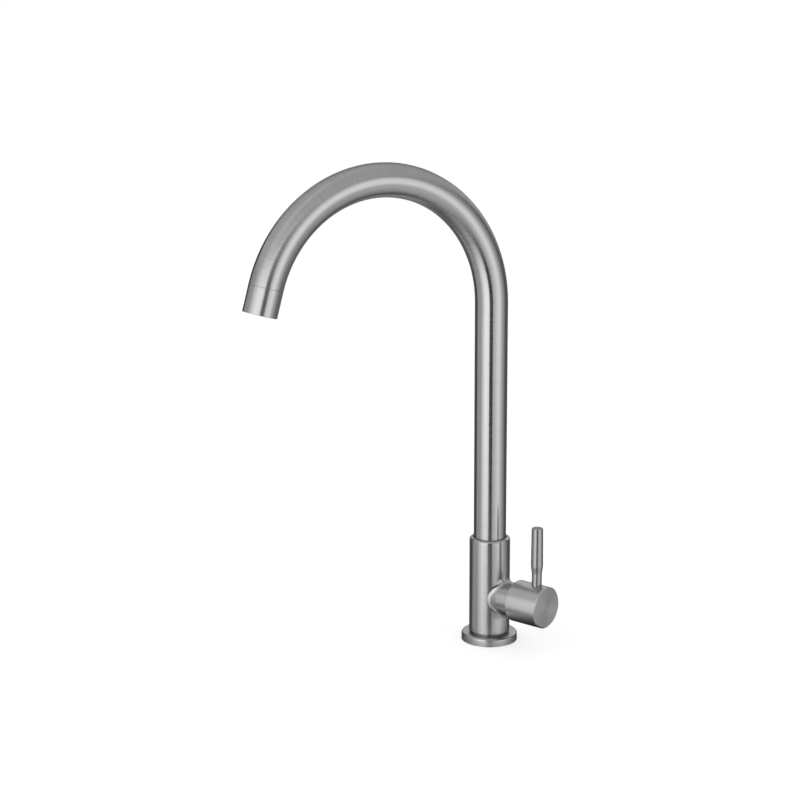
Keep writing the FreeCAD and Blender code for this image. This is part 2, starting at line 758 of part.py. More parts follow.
def make_lever():
    body = place(new_body("lever"), "lever_offset", up="handle_height")
    pin = turn(body, "pin", [
        ("0", "tenon_end"),
        ("tenon_diameter / 2", "tenon_end"),
        ("tenon_diameter / 2", "lever_seat"),
        ("lever_stem_diameter / 2", "lever_seat"),
        ("lever_stem_diameter / 2", "lever_waist"),
        ("lever_grip_diameter / 2", "lever_belly"),
        ("lever_top_diameter / 2", "lever_top"),
        ("0", "lever_top"),
    ])
    belly = rim_names(pin, value("lever_grip_diameter") / 2, value("lever_belly"))
    flare = ease(body, "flare", "Fillet", pin, belly, "lever_flare_round")
    crown = rim_names(flare, value("lever_top_diameter") / 2, value("lever_top"))
    ease(body, "crown", "Fillet", flare, crown, "lever_top_round")


def make_grub_screw(label, start, end, diameter, socket_across, socket_depth):
    """A grub screw along its own Z axis, with a hexagon socket in its upper end."""
    body = new_body(label)
    raise_circle(body, "shank", "XY_Plane", start, f"{end} - {start}", f"{diameter} / 2")
    mill(body, "socket", "XY_Plane", f"{end} - {socket_depth}", f"{socket_depth} + overrun",
         hexagon(f"({socket_across} / 2 / cos(30))"))
    return body


def make_screws():
    set_screw = make_grub_screw("handle_set_screw", "set_screw_start", "set_screw_end", "set_screw_diameter",
                                "set_screw_socket_across", "set_screw_socket_depth")
    # It points down into the handle's underside
    place(set_screw, "lever_offset", up="handle_height", pitch="180")
    lock_screw = make_grub_screw("spout_lock_screw", "lock_tip_start", "lock_head", "lock_diameter",
                                 "lock_socket_across", "lock_socket_depth")
    raise_circle(lock_screw, "dog_point", "XY_Plane", "lock_tip_end", "lock_tip_length", "lock_tip_diameter / 2")
    # It enters the column from the back
    place(lock_screw, up="lock_height", yaw="90", pitch="90")


# Spout


def on_spout(body):
    return place(body, yaw="spout_turn")


def make_spout_tube():
    body = on_spout(new_body("spout_tube"))
    path = new_sketch(body, "path", "XZ_Plane")
    rise = [FreeCAD.Vector(0, value(level), 0) for level in ("tube_bottom", "bend_start")]
    path.addGeometry(Part.LineSegment(*rise))
    middle = FreeCAD.Vector(value("bend_radius"), value("bend_start"), 0)
    circle = Part.Circle(middle, FreeCAD.Vector(0, 0, 1), value("bend_radius"))
    path.addGeometry(Part.ArcOfCircle(circle, math.pi - math.radians(value("bend_angle")), math.pi))
    path.addConstraint(Sketcher.Constraint("Coincident", 0, 2, 1, 2))
    pin_point(path, 0, 1, "0", "tube_bottom")
    pin_point(path, 0, 2, "0", "bend_start")
    pin_point(path, 1, 3, "bend_radius", "bend_start")
    span = path.addConstraint(Sketcher.Constraint("Angle", 1, math.radians(value("bend_angle"))))
    path.setExpression(f"Constraints[{span}]", bound("bend_angle"))
    section = new_sketch(body, "section", "XY_Plane", "tube_bottom")
    draw_circle(section, "tube_radius")
    draw_circle(section, "tube_bore_radius")
    document.recompute()
    pipe = add_feature(body, "AdditivePipe", "pipe", section)
    pipe.Spine = (path, ["Edge1", "Edge2"])
    document.recompute()


def make_swivel_stem():
    body = on_spout(new_body("swivel_stem"))
    turn(body, "stem", [
        ("stem_bore_radius", "stem_bottom"),
        ("journal_radius", "stem_bottom"),
        ("journal_radius", "stem_flange_bottom"),
        ("tube_radius", "stem_flange_bottom"),
        ("tube_radius", "tube_bottom"),
        ("stem_spigot_radius", "tube_bottom"),
        ("stem_spigot_radius", "tube_bottom + stem_spigot_length"),
        ("stem_bore_radius", "tube_bottom + stem_spigot_length"),
    ])
    for name, bottom, width, floor in (
        ("lower_groove", "lower_groove", "stem_groove_width", "stem_groove_floor"),
        ("upper_groove", "upper_groove", "stem_groove_width", "stem_groove_floor"),
        ("lock_groove", "lock_groove", "lock_groove_width", "lock_groove_floor"),
    ):
        turn_away(body, name, rectangle(floor, "journal_radius + overrun", bottom, f"{bottom} + {width}"))


def make_stem_rings():
    spots = [{"up": f"{bottom} + stem_groove_width / 2"} for bottom in ("lower_groove", "upper_groove")]
    ring_pair("stem_o_rings", "stem_ring_section", "stem_ring_radius", spots)
    ring("spout_bearing_ring", "ledge", "stem_flange_bottom",
         "socket_radius + bearing_gap", "mouth_radius - bearing_gap")


# Nozzle at the spout's tip


def on_nozzle(body):
    across = "tip_reach * cos(spout_turn)"
    away = "tip_reach * sin(spout_turn)"
    return place(body, across, away, "tip_height", "spout_turn", "nozzle_tilt")


def make_tip_insert():
    on_nozzle(ring("tip_insert", "0", "insert_length", "insert_bore_radius", "insert_radius"))


def make_aerator_housing():
    body = on_nozzle(new_body("aerator_housing"))
    sleeve = turn(body, "sleeve", [
        ("aerator_bore_radius", "-nozzle_length"),
        ("tube_radius", "-nozzle_length"),
        ("tube_radius", "0"),
        ("nozzle_spigot_radius", "0"),
        ("nozzle_spigot_radius", "nozzle_spigot_length"),
        ("nozzle_bore_radius", "nozzle_spigot_length"),
        ("nozzle_bore_radius", "aerator_shoulder"),
        ("aerator_bore_radius", "aerator_shoulder"),
    ])
    mouth = rim_names(sleeve, value("tube_radius"), -value("nozzle_length"))
    rounded = ease(body, "mouth_round", "Fillet", sleeve, mouth, "nozzle_edge")
    seam = rim_names(rounded, value("tube_radius"), 0)
    ease(body, "seam_edge", "Chamfer", rounded, seam, "nozzle_seam")


def make_perforated_disc(label, bottom, thickness, hole_diameter):
    """A round disc with a middle hole and rings of holes, each ring with more holes than the last."""
    body = on_nozzle(new_body(label))
    raise_circle(body, "disc", "XY_Plane", bottom, thickness, "aerator_radius")
    start = f"{bottom} - overrun"
    depth = f"{thickness} + 2 * overrun"
    drill(body, "middle_hole", "XY_Plane", start, depth, f"{hole_diameter} / 2")
    for number in (1, 2, 3):
        hole = drill(body, f"ring_{number}_hole", "XY_Plane", start, depth, f"{hole_diameter} / 2",
                     f"{number} * core_ring_step")
        pattern = body.newObject("PartDesign::PolarPattern", f"{label}_ring_{number}")
        pattern.Originals = [hole]
        pattern.Axis = (hole.Profile[0], ["N_Axis"])
        pattern.Angle = 360
        pattern.setExpression("Occurrences", bound(f"{number} * core_hole_count"))
        body.Tip = pattern
        document.recompute()
    return body


def make_aerator():
    make_perforated_disc("aerator_core", "core_bottom", "core_length", "core_hole_diameter")
    make_perforated_disc("aerator_screen", "screen_bottom", "screen_thickness", "screen_hole_diameter")
    washer = ring("aerator_washer", "aerator_washer_bottom", "aerator_shoulder",
                  "nozzle_bore_radius", "aerator_radius")
    on_nozzle(washer)


def check_document():
    """Stop before anything is written if a feature failed or a cut removed nothing."""
    for thing in document.Objects:
        if {"Invalid", "Error"} & set(thing.State):
            raise RuntimeError(f"{thing.Name} failed: {thing.State}")
        if thing.TypeId in ("PartDesign::Pocket", "PartDesign::Groove"):
            if not thing.Shape.Volume < thing.BaseFeature.Shape.Volume:
                raise RuntimeError(f"{thing.Name} cuts nothing")
    for piece in pieces:
        if piece.Shape.isNull() or not piece.Shape.isValid():
            raise RuntimeError(f"{piece.Label} has no valid shape")


def write_pieces():
    os.makedirs("parts", exist_ok=True)
    for piece in pieces:
        piece.Shape.exportStep(f"parts/{piece.Label}.step")
        print(f"{piece.Label}: {len(piece.Shape.Solids)} solids, {piece.Shape.Volume:.1f} mm3")


make_base_flange()
make_deck_seal_ring()
make_valve_body()
make_shank()
make_clamp()
make_lock_nut()
make_cartridge_body()
make_headwork_seals()
make_discs()
make_spindle()
make_spindle_rings()
make_spindle_circlip()
make_handle_body()
make_lever()
make_screws()
make_spout_tube()
make_swivel_stem()
make_stem_rings()
make_tip_insert()
make_aerator_housing()
make_aerator()
document.recompute()
check_document()
write_pieces()
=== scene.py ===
import json
import math

import bpy
from mathutils import Matrix, Vector


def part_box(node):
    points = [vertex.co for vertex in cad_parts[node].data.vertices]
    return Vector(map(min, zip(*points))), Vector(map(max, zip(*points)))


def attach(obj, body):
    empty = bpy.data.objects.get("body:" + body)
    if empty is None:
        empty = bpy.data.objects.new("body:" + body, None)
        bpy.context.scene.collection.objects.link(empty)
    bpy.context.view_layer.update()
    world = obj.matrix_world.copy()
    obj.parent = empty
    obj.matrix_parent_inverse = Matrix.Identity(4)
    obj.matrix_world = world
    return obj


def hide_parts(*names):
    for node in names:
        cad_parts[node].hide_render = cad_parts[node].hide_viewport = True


# A brushed steel kitchen tap on a plain white floor, seen from the front right.
# Lengths are in metres, angles in degrees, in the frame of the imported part.

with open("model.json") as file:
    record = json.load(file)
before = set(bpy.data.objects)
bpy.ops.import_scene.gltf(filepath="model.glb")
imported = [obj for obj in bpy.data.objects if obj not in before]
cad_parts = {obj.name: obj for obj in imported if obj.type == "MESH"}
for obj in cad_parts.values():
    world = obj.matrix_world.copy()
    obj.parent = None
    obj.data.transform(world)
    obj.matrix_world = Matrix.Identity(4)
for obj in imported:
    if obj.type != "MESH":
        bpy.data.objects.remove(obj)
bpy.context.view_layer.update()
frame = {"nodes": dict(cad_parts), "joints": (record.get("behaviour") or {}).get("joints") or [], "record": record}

UP = Vector((0, 0, 1))
BACK = Vector((0, 1, 0))
ORIGIN = Vector((0, 0, 0))
MILLIMETRE = 0.001
WHITE = (1.0, 1.0, 1.0)

# Camera, measured from the column's axis
CAMERA_DISTANCE = 1.3136
CAMERA_HEIGHT = 0.4791
CAMERA_BEARING = 37.80  # from the user's side towards the handle
CAMERA_AIM = 3.062  # how far the view is turned to the left of the column
CAMERA_PITCH = 12.262  # downwards
CAMERA_ROLL = -0.244  # below zero the camera leans to its right
CAMERA_LENS_MM = 78.17
CAMERA_SENSOR_MM = 36.0

# Brushed steel: a brush has a range of roughness and stretches reflections square to its lines
STEEL_DARK = (0.530, 0.530, 0.532)
STEEL_LIGHT = (0.630, 0.630, 0.634)
STEEL_EDGE_SHARE = 0.20  # how much of its light the steel still mirrors where it is seen edge on
SHARP_BRUSH = {"roughness": (0.19, 0.27), "stretch_share": 0.95}
SOFT_BRUSH = {"roughness": (0.26, 0.36), "stretch_share": 0.70}
BRUSH_LENGTH = 0.0008  # size that the grain is drawn at round a piece; smaller gives longer lines
BRUSH_LINES = 5200.0  # fine lines to a metre
BRUSH_STREAKS = 620.0  # broad streaks to a metre
BRUSH_DEPTH = 0.00001
BRUSH_BUMP_SHARE = 0.10
STREAK_SHARE = 0.5  # part of the grain that is streaks; the rest is fine lines
HANDLE_PAINTED_LIGHT = 1.18  # how much brighter the handle's steel is painted than the rest: painted light
LEVER_PAINTED_SHADE = 0.80  # how much darker the lever's steel is painted than the rest: painted shade
# Painted shade: the column's colour is darkened in the seam above the flange
SEAM_SHADE_HEIGHT = 0.0014  # how far up the column the painted shade in the seam at its foot reaches
SEAM_SHADE_SHARE = 0.25  # how much of the painted shade's colour shows right above the flange
SEAM_SHADE_COLOUR = (0.02, 0.02, 0.02)

# Turned metals: colours, roughness and tool marks to a metre
BRASS = {"dark": (0.62, 0.44, 0.20), "light": (0.74, 0.56, 0.28),
         "roughness": (0.22, 0.38), "marks": 2600.0}
PLAIN_STEEL = {"dark": (0.52, 0.52, 0.51), "light": (0.62, 0.62, 0.61),
               "roughness": (0.24, 0.40), "marks": 2200.0}
SCREW_STEEL = {"dark": (0.44, 0.44, 0.44), "light": (0.54, 0.54, 0.54),
               "roughness": (0.18, 0.34), "marks": 3200.0}
MARK_DEPTH = 0.00002
MARK_BUMP_SHARE = 0.3
TURNED_STRETCH_SHARE = 0.4
STAINS = 90.0  # cloudy stains to a metre

# Moulded materials: colours, roughness, cloudy patches and fine grains to a metre, depth of the grain
RUBBER = {"dark": (0.014, 0.014, 0.015), "light": (0.030, 0.029, 0.028), "roughness": (0.55, 0.75),
          "patches": 160.0, "grains": 4000.0, "depth": 0.00003}
ACETAL = {"dark": (0.78, 0.78, 0.75), "light": (0.84, 0.84, 0.82), "roughness": (0.34, 0.48),
          "patches": 120.0, "grains": 3000.0, "depth": 0.00001}
CERAMIC = {"dark": (0.84, 0.83, 0.79), "light": (0.91, 0.90, 0.87), "roughness": (0.18, 0.30),
           "patches": 300.0, "grains": 5000.0, "depth": 0.000004}
GRAIN_BUMP_SHARE = 0.35
NOISE_DETAIL = 3.0
NOISE_RANGE = (0.3, 0.7)  # what a noise mostly lies between

# Pipe thread G 1/2 on the shank
THREAD_PITCH = 0.001814
THREAD_DEPTH = 0.001162
THREAD_FLAT_SHARE = 0.16  # part of a pitch that is flat, at the crest and at the root
THREAD_STEPS_PER_TURN = 72
THREAD_STEPS_PER_PITCH = 12
RELIEF_WIDTH = 0.002  # plain groove between the two threads
RELIEF_DEPTH = 0.0012
SHANK_BORE_SHARE = 0.668  # bore of the shank to its outside

# Floor, surroundings and lamps
WORLD_LIGHT = 0.75  # light of the white surroundings on matt surfaces
WORLD_SEEN = 1.0  # how bright the surroundings look
FLOOR_SIZE = 8.0
FLOOR_COLOUR = (0.5, 0.5, 0.5)
FLOOR_GLOW = 0.62  # lifts the floor to white where the camera sees it, so that only the shadow shows
LAMP_POWER = 7.0
LAMP_SIZE = 1.4
LAMP_DISTANCE = 2.0
LAMP_HEIGHT = 1.5
LAMP_ANGLES = {"left_lamp": -50, "right_lamp": 55}  # from the camera towards the picture's right


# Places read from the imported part


def named(rows, name):
    return next(row for row in rows if row["name"] == name)


def middle(node):
    low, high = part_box(node)
    return (low + high) / 2


def find_bend():
    """Work out the gooseneck's bend from the tube's top and from where the water leaves.

    The nozzle runs straight on from the end of the arc, so its own length isn't needed.
    """
    way = Vector((outlet_spot.x, outlet_spot.y, 0)).normalized()
    tilt = math.asin(outlet_axis.dot(way))
    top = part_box("spout_tube")[1].z - tube_radius
    reach = outlet_spot.dot(way) - math.tan(tilt) * (top - outlet_spot.z)
    radius = reach / (1 + math.cos(tilt) - math.tan(tilt) * (1 - math.sin(tilt)))
    return way, radius, way * radius + UP * (top - radius)


mounts = frame["record"]["mounts"]
outlet_axis = Vector(named(mounts, "water_outlet")["axis"])
outlet_spot = Vector(named(mounts, "water_outlet")["pos_m"])
handle_axis = Vector(named(frame["joints"], "handle_turn")["axis"])
handle_spot = Vector(named(frame["joints"], "handle_turn")["pos_m"])
handle_low, handle_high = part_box("handle_body")
flange_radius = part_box("base_flange")[1].y
tube_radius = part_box("spout_tube")[1].y
body_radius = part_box("valve_body")[1].y
spout_way, bend_radius, bend_centre = find_bend()


# Helpers that make shader nodes


def rgba(colour):
    return (*colour, 1.0)


def empty_material(name):
    material = bpy.data.materials.new(name)
    material.use_nodes = True
    material.node_tree.nodes.clear()
    return material, material.node_tree


def show(tree, surface):
    """Make a shader the material's surface."""
    output = tree.nodes.new("ShaderNodeOutputMaterial")
    tree.links.new(surface, output.inputs["Surface"])


def new_material(name):
    """A material with one shader, whose sockets are still as Blender sets them."""
    material, tree = empty_material(name)
    shader = tree.nodes.new("ShaderNodeBsdfPrincipled")
    show(tree, shader.outputs["BSDF"])
    return material, tree, shader


def feed(tree, socket, source):
    """Set a socket to a value, or link it to another node's output."""
    if isinstance(source, bpy.types.NodeSocket):
        tree.links.new(source, socket)
    else:
        socket.default_value = source


def vector_math(tree, operation, first, second=None):
    node = tree.nodes.new("ShaderNodeVectorMath")
    node.operation = operation
    feed(tree, node.inputs[0], first)
    if second is not None:
        feed(tree, node.inputs["Scale" if operation == "SCALE" else 1], second)
    return node.outputs["Value" if operation in ("DOT_PRODUCT", "LENGTH") else "Vector"]


def number_math(tree, operation, first, second):
    node = tree.nodes.new("ShaderNodeMath")
    node.operation = operation
    feed(tree, node.inputs[0], first)
    feed(tree, node.inputs[1], second)
    return node.outputs["Value"]


def noise(tree, place, scale, depth=None):
    """A noise at a place; with a depth too, it also changes along a fourth direction."""
    node = tree.nodes.new("ShaderNodeTexNoise")
    feed(tree, node.inputs["Vector"], place)
    if depth is not None:
        node.noise_dimensions = "4D"
        feed(tree, node.inputs["W"], number_math(tree, "MULTIPLY", depth, scale))
    node.inputs["Scale"].default_value = scale
    node.inputs["Detail"].default_value = NOISE_DETAIL
    return node.outputs["Fac"]


def spread(tree, source, low, high, source_range=NOISE_RANGE):
    """Map a value from its usual range to another range."""
    node = tree.nodes.new("ShaderNodeMapRange")
    feed(tree, node.inputs["Value"], source)
    node.inputs["From Min"].default_value, node.inputs["From Max"].default_value = source_range
    node.inputs["To Min"].default_value = low
    node.inputs["To Max"].default_value = high
    return node.outputs["Result"]


def blend(tree, kind, factor, first, second):
    """Mix two colours (RGBA), vectors (VECTOR) or numbers (FLOAT)."""
    node = tree.nodes.new("ShaderNodeMix")
    node.data_type = kind
    chosen = [socket for socket in node.inputs if socket.enabled]
    feed(tree, chosen[0], factor)
    feed(tree, chosen[1], first)
    feed(tree, chosen[2], second)
    return next(socket for socket in node.outputs if socket.enabled)


def tint(tree, shader, pattern, dark, light):
    """Colour a shader between two colours by a noise."""
    colour = blend(tree, "RGBA", spread(tree, pattern, 0.0, 1.0), rgba(dark), rgba(light))
    tree.links.new(colour, shader.inputs["Base Color"])


def bump(tree, shader, height, depth, strength):
    node = tree.nodes.new("ShaderNodeBump")
    node.inputs["Distance"].default_value = depth
    node.inputs["Strength"].default_value = strength
    tree.links.new(height, node.inputs["Height"])
    tree.links.new(node.outputs["Normal"], shader.inputs["Normal"])


def object_position(tree):
    return tree.nodes.new("ShaderNodeTexCoord").outputs["Object"]


# Metal finishes: a finish needs a place in the grain, a distance from the axis, and the way its lines run


def around_axis(tree, position, axis, spot):
    """Lines round a straight axis through a spot."""
    offset = vector_math(tree, "SUBTRACT", position, spot)
    on_axis = vector_math(tree, "SCALE", axis, vector_math(tree, "DOT_PRODUCT", offset, axis))
    outward = vector_math(tree, "SUBTRACT", offset, on_axis)
    rounded = vector_math(tree, "SCALE", vector_math(tree, "NORMALIZE", outward), BRUSH_LENGTH)
    place = vector_math(tree, "ADD", rounded, on_axis)
    lines = vector_math(tree, "CROSS_PRODUCT", axis, outward)
    return place, vector_math(tree, "LENGTH", outward), lines


def around_bend(tree, position):
    """Lines round the spout tube, whose middle line is a straight run and then an arc."""
    side = spout_way.cross(UP)
    offset = vector_math(tree, "SUBTRACT", position, bend_centre)
    forward = vector_math(tree, "DOT_PRODUCT", offset, spout_way)
    upward = vector_math(tree, "DOT_PRODUCT", offset, UP)
    above = number_math(tree, "MAXIMUM", upward, 0.0)
    below = number_math(tree, "MINIMUM", upward, 0.0)
    # The arm points from the bend's centre to the middle line, and stays level beside the straight run
    arm = vector_math(tree, "ADD", vector_math(tree, "SCALE", spout_way, forward),
                      vector_math(tree, "SCALE", UP, above))
    arm = vector_math(tree, "NORMALIZE", arm)
    turned = number_math(tree, "ARCTAN2", above, number_math(tree, "MULTIPLY", forward, -1.0))
    along = number_math(tree, "ADD", number_math(tree, "MULTIPLY", turned, bend_radius), below)
    course = vector_math(tree, "CROSS_PRODUCT", side, arm)
    outward = vector_math(tree, "SUBTRACT", offset, vector_math(tree, "SCALE", arm, bend_radius))
    lines = vector_math(tree, "CROSS_PRODUCT", course, outward)
    around = vector_math(tree, "SCALE", vector_math(tree, "NORMALIZE", lines), BRUSH_LENGTH)
    place = tree.nodes.new("ShaderNodeCombineXYZ")
    tree.links.new(along, place.inputs["X"])
    tree.links.new(vector_math(tree, "DOT_PRODUCT", around, arm), place.inputs["Y"])
    tree.links.new(vector_math(tree, "DOT_PRODUCT", around, side), place.inputs["Z"])
    return place.outputs["Vector"], 0.0, lines


def stretch_reflections(tree, shader, lines, share):
    """Stretch reflections square to the lines."""
    transform = tree.nodes.new("ShaderNodeVectorTransform")
    transform.vector_type = "VECTOR"
    transform.convert_from = "OBJECT"
    transform.convert_to = "WORLD"
    tree.links.new(lines, transform.inputs["Vector"])
    normal = tree.nodes.new("ShaderNodeNewGeometry").outputs["Normal"]
    tangent = vector_math(tree, "CROSS_PRODUCT", normal, transform.outputs["Vector"])
    tree.links.new(tangent, shader.inputs["Tangent"])
    shader.inputs["Anisotropic"].default_value = share


def finish_steel(tree, shader, place, depth, lines, share, roughness, stretch_share):
    """Brushed steel; its share is how bright it is, next to the usual steel, and where it isn't 1 it paints light
    or shade into the colour.
    """
    fine = noise(tree, place, BRUSH_LINES, depth)
    streaks = noise(tree, place, BRUSH_STREAKS, depth)
    grain = blend(tree, "FLOAT", STREAK_SHARE, fine, streaks)
    tint(tree, shader, grain, Vector(STEEL_DARK) * share, Vector(STEEL_LIGHT) * share)
    tree.links.new(spread(tree, grain, *roughness), shader.inputs["Roughness"])
    shader.inputs["Metallic"].default_value = 1.0
    shader.inputs["Specular Tint"].default_value = rgba([STEEL_EDGE_SHARE] * 3)
    bump(tree, shader, fine, BRUSH_DEPTH, BRUSH_BUMP_SHARE)
    stretch_reflections(tree, shader, lines, stretch_share)


def brushed_steel(name, axis, spot, brush, share=1.0):
    material, tree, shader = new_material(name)
    finish_steel(tree, shader, *around_axis(tree, object_position(tree), axis, spot), share, **brush)
    return material


def brushed_tube():
    material, tree, shader = new_material("brushed_steel_tube")
    finish_steel(tree, shader, *around_bend(tree, object_position(tree)), 1.0, **SHARP_BRUSH)
    return material


def paint_seam_shade(tree, shader, height):
    """Darken the steel just above the flange: painted shade in the seam at the column's foot."""
    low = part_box("base_flange")[1].z
    shaded = spread(tree, height, SEAM_SHADE_SHARE, 0.0, (low, low + SEAM_SHADE_HEIGHT))
    unshaded = shader.inputs["Base Color"].links[0].from_socket
    colour = blend(tree, "RGBA", shaded, unshaded, rgba(SEAM_SHADE_COLOUR))
    tree.links.new(colour, shader.inputs["Base Color"])


def brushed_column():
    """The column is brushed round its upright axis and its stub round the handle's axis."""
    material, tree, shader = new_material("brushed_steel_column")
    position = object_position(tree)
    upright = around_axis(tree, position, UP, ORIGIN)
    sideways = around_axis(tree, position, handle_axis, handle_spot)
    out = vector_math(tree, "DOT_PRODUCT", position, handle_axis)
    on_stub = number_math(tree, "GREATER_THAN", out, body_radius)
    place = blend(tree, "VECTOR", on_stub, upright[0], sideways[0])
    depth = blend(tree, "FLOAT", on_stub, upright[1], sideways[1])
    lines = blend(tree, "VECTOR", on_stub, upright[2], sideways[2])
    finish_steel(tree, shader, place, depth, lines, 1.0, **SHARP_BRUSH)
    # painted shade in the seam at the column's foot
    paint_seam_shade(tree, shader, vector_math(tree, "DOT_PRODUCT", position, UP))
    return material


def turned_metal(name, axis, spot, dark, light, roughness, marks):
    """A turned metal with fine tool marks round its axis."""
    material, tree, shader = new_material(name)
    position = object_position(tree)
    place, depth, lines = around_axis(tree, position, axis, spot)
    tool_marks = noise(tree, place, marks, depth)
    tint(tree, shader, noise(tree, position, STAINS), dark, light)
    tree.links.new(spread(tree, tool_marks, *roughness), shader.inputs["Roughness"])
    shader.inputs["Metallic"].default_value = 1.0
    bump(tree, shader, tool_marks, MARK_DEPTH, MARK_BUMP_SHARE)
    stretch_reflections(tree, shader, lines, TURNED_STRETCH_SHARE)
    return material


def moulded(name, dark, light, roughness, patches, grains, depth):
    """Rubber, plastic or ceramic: cloudy colour and a fine grain."""
    material, tree, shader = new_material(name)
    position = object_position(tree)
    grain = noise(tree, position, grains)
    tint(tree, shader, noise(tree, position, patches), dark, light)
    tree.links.new(spread(tree, grain, *roughness), shader.inputs["Roughness"])
    bump(tree, shader, grain, depth, GRAIN_BUMP_SHARE)
    return material


def dress_nodes():
    """Give each piece its finish: metals by the axis they are turned round, the rest by their slot."""
    column_line = (UP, ORIGIN)
    handle_line = (handle_axis, handle_spot)
    outlet_line = (outlet_axis, outlet_spot)
    lever_line = (UP, middle("lever"))
    set_screw_line = (UP, middle("handle_set_screw"))
    lock_screw_line = (BACK, middle("spout_lock_screw"))
    upright_brass = turned_metal("brass_upright", *column_line, **BRASS)
    sideways_brass = turned_metal("brass_sideways", *handle_line, **BRASS)
    upright_steel = turned_metal("plain_steel_upright", *column_line, **PLAIN_STEEL)
    by_node = {
        "base_flange": brushed_steel("brushed_steel_flange", *column_line, SOFT_BRUSH),
        "valve_body": brushed_column(),
        "spout_tube": brushed_tube(),
        "aerator_housing": brushed_steel("brushed_steel_nozzle", *outlet_line, SHARP_BRUSH),
        # The handle's steel is painted brighter than the rest: painted light
        "handle_body": brushed_steel("brushed_steel_handle", *handle_line, SOFT_BRUSH, HANDLE_PAINTED_LIGHT),
        # The lever's steel is painted darker than the rest: painted shade
        "lever": brushed_steel("brushed_steel_lever", *lever_line, SHARP_BRUSH, LEVER_PAINTED_SHADE),
        "shank": upright_steel,
        "steel_washer": upright_steel,
        "lock_nut": upright_brass,
        "swivel_stem": upright_brass,
        "cartridge_body": sideways_brass,
        "spindle": sideways_brass,
        "tip_insert": turned_metal("brass_nozzle", *outlet_line, **BRASS),
        "spindle_circlip": turned_metal("screw_steel_circlip", *handle_line, **SCREW_STEEL),
        "handle_set_screw": turned_metal("screw_steel_set_screw", *set_screw_line, **SCREW_STEEL),
        "spout_lock_screw": turned_metal("screw_steel_lock_screw", *lock_screw_line, **SCREW_STEEL),
        "aerator_screen": turned_metal("screw_steel_screen", *outlet_line, **SCREW_STEEL),
    }
    by_slot = {
        "black_rubber": moulded("black_rubber", **RUBBER),
        "white_acetal": moulded("white_acetal", **ACETAL),
        "white_ceramic": moulded("white_ceramic", **CERAMIC),
    }
    slots = {row["node"]: row["material_slot"] for row in frame["record"]["subparts"]}
    for name, node in frame["nodes"].items():
        node.data.materials.clear()
        node.data.materials.append(by_node.get(name) or by_slot[slots[name]])


# Meshes made of rows of points


def add_mesh(name, vertices, faces):
    mesh = bpy.data.meshes.new(name)
    mesh.from_pydata(vertices, [], faces)
    mesh.update()
    piece = bpy.data.objects.new(name, mesh)
    bpy.context.scene.collection.objects.link(piece)
    return piece


def grid_faces(rows, columns, closed):
    """Faces between rows of points; a closed grid also joins its last row and column to the first."""
    left_open = 0 if closed else 1
    faces = []
    for row in range(rows - left_open):
        start = row * columns
        after = (row + 1) % rows * columns
        for column in range(columns - left_open):
            beside = (column + 1) % columns
            faces.append((start + column, start + beside, after + beside, after + column))
    return faces


# Shank with a real thread


def ring(height, radii):
    """A ring of points at a height, one for each radius, evenly round the column's axis."""
    points = []
    for step, radius in enumerate(radii):
        turn = math.tau * step / len(radii)
        points.append((radius * math.cos(turn), radius * math.sin(turn), height))
    return points


def thread_radii(crest, limit, height):
    """The thread's radii round the axis at a height, none of them over a limit."""
    radii = []
    for step in range(THREAD_STEPS_PER_TURN):
        turns = height / THREAD_PITCH - step / THREAD_STEPS_PER_TURN
        ridge = abs(2 * (turns % 1.0) - 1)
        sunk = min(1.0, max(0.0, (ridge - THREAD_FLAT_SHARE) / (1 - 2 * THREAD_FLAT_SHARE)))
        radii.append(min(limit, crest - THREAD_DEPTH * sunk))
    return radii


def threaded_shank():
    """The shank with its two threads cut and its ends chamfered, in place of the plain one."""
    low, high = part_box("shank")
    inlet = named(mounts, "inlet_thread")
    crest = inlet["dims"]["r_mm"] * MILLIMETRE
    relief_low = inlet["pos_m"][2] + inlet["dims"]["length_mm"] * MILLIMETRE / 2
    relief_high = relief_low + RELIEF_WIDTH
    rows = round((high.z - low.z) / THREAD_PITCH * THREAD_STEPS_PER_PITCH)
    vertices = []
    for row in range(rows + 1):
        height = low.z + (high.z - low.z) * row / rows
        in_relief = relief_low < height < relief_high
        end_gap = min(height - low.z, high.z - height)
        limit = crest - (RELIEF_DEPTH if in_relief else max(0.0, THREAD_DEPTH - end_gap))
        vertices += ring(height, thread_radii(crest, limit, height))
    bore = [crest * SHANK_BORE_SHARE] * THREAD_STEPS_PER_TURN
    vertices += ring(high.z, bore)
    vertices += ring(low.z, bore)
    faces = grid_faces(len(vertices) // THREAD_STEPS_PER_TURN, THREAD_STEPS_PER_TURN, closed=True)
    piece = add_mesh("threaded_shank", vertices, faces)
    piece.data.materials.append(frame["nodes"]["shank"].data.materials[0])
    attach(piece, "tap_body")
    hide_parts("shank")


# Stage: floor, surroundings, lamps and camera


def bearing(angle):
    """Level direction from the column, at an angle from the camera towards the picture's right."""
    turn = math.radians(CAMERA_BEARING + angle)
    return Vector((math.sin(turn), -math.cos(turn), 0))


def seen_directly(tree):
    """1 for rays from the camera, from gloss and through glass, which see the white background."""
    path = tree.nodes.new("ShaderNodeLightPath")
    seen = number_math(tree, "MAXIMUM", path.outputs["Is Camera Ray"], path.outputs["Is Glossy Ray"])
    return number_math(tree, "MAXIMUM", seen, path.outputs["Is Transmission Ray"])


def white_world():
    world = bpy.data.worlds.new("white_surroundings")
    bpy.context.scene.world = world
    world.use_nodes = True
    tree = world.node_tree
    background = tree.nodes["Background"]
    background.inputs["Color"].default_value = rgba(WHITE)
    strength = spread(tree, seen_directly(tree), WORLD_LIGHT, WORLD_SEEN, (0.0, 1.0))
    tree.links.new(strength, background.inputs["Strength"])


